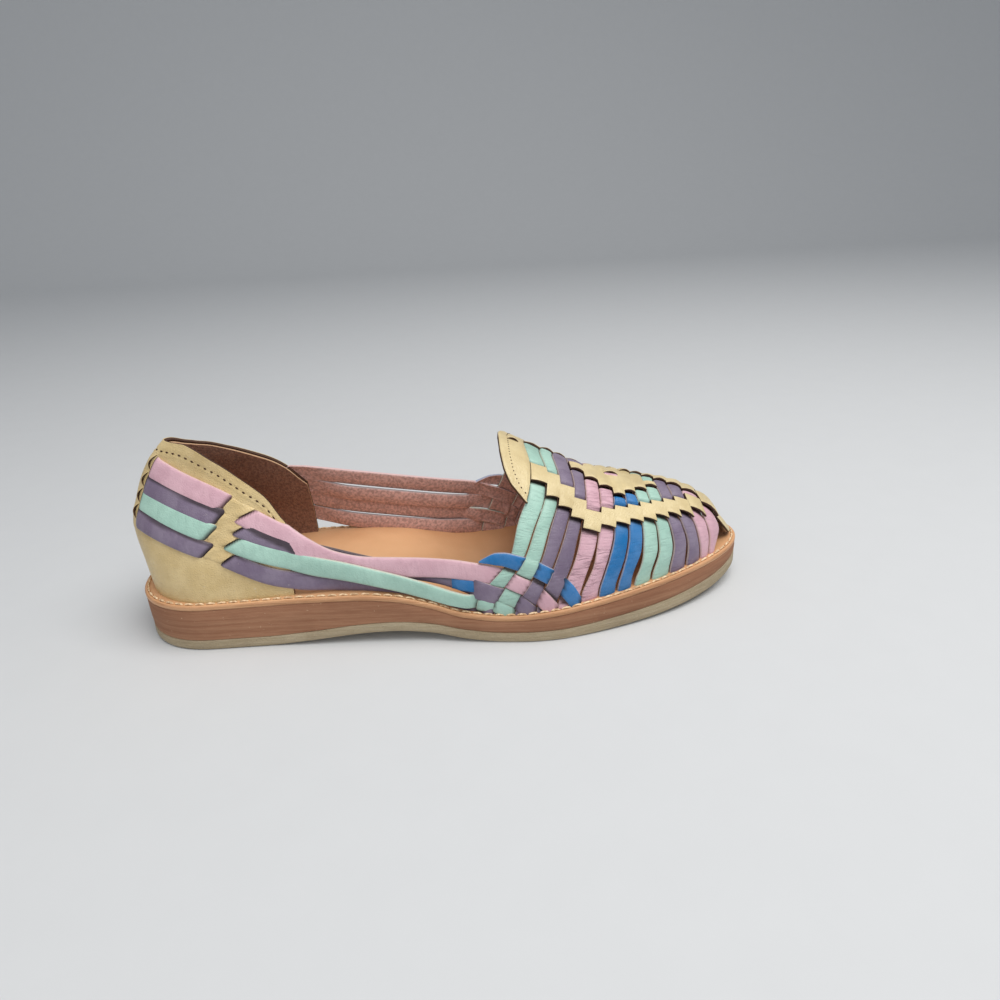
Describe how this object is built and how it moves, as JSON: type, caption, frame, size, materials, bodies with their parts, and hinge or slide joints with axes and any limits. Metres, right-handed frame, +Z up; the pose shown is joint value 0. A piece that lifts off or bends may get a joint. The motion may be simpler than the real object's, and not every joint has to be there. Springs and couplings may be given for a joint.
{
  "type": "huarache sandal",
  "caption": "Flat huarache sandal for the right foot: woven leather strips over an open toe, straps round a heel counter, a slit centre piece with a tongue, and a layered wedge sole.",
  "frame": {"origin": "middle of the underside of the whole sandal's box, on the floor", "axes": "+X from heel to toe, +Y to the inner (medial) side of the foot, +Z up"},
  "size_m": [0.2536, 0.0832, 0.0788],
  "materials": {
    "tread_rubber": "matt, crumbly crepe",
    "midsole_foam": "matt brown, fine streaks along its length",
    "footbed_leather": "smooth tan leather, soft sheen",
    "woven_leather": "semi-gloss dyed strips",
    "counter_leather": "pale gold, soft metallic sheen",
    "gold_leather": "pale gold, soft metallic sheen",
    "mint_leather": "semi-gloss",
    "pink_leather": "semi-gloss",
    "purple_leather": "semi-gloss",
    "blue_leather": "semi-gloss",
    "thread": "waxed thread"
  },
  "bodies": {
    "root": {"outsole": "tread_rubber", "midsole": "midsole_foam", "insole": "footbed_leather", "upper": "woven_leather", "heel_counter": "counter_leather", "centre_piece": "gold_leather"}
  },
  "joints": []
}
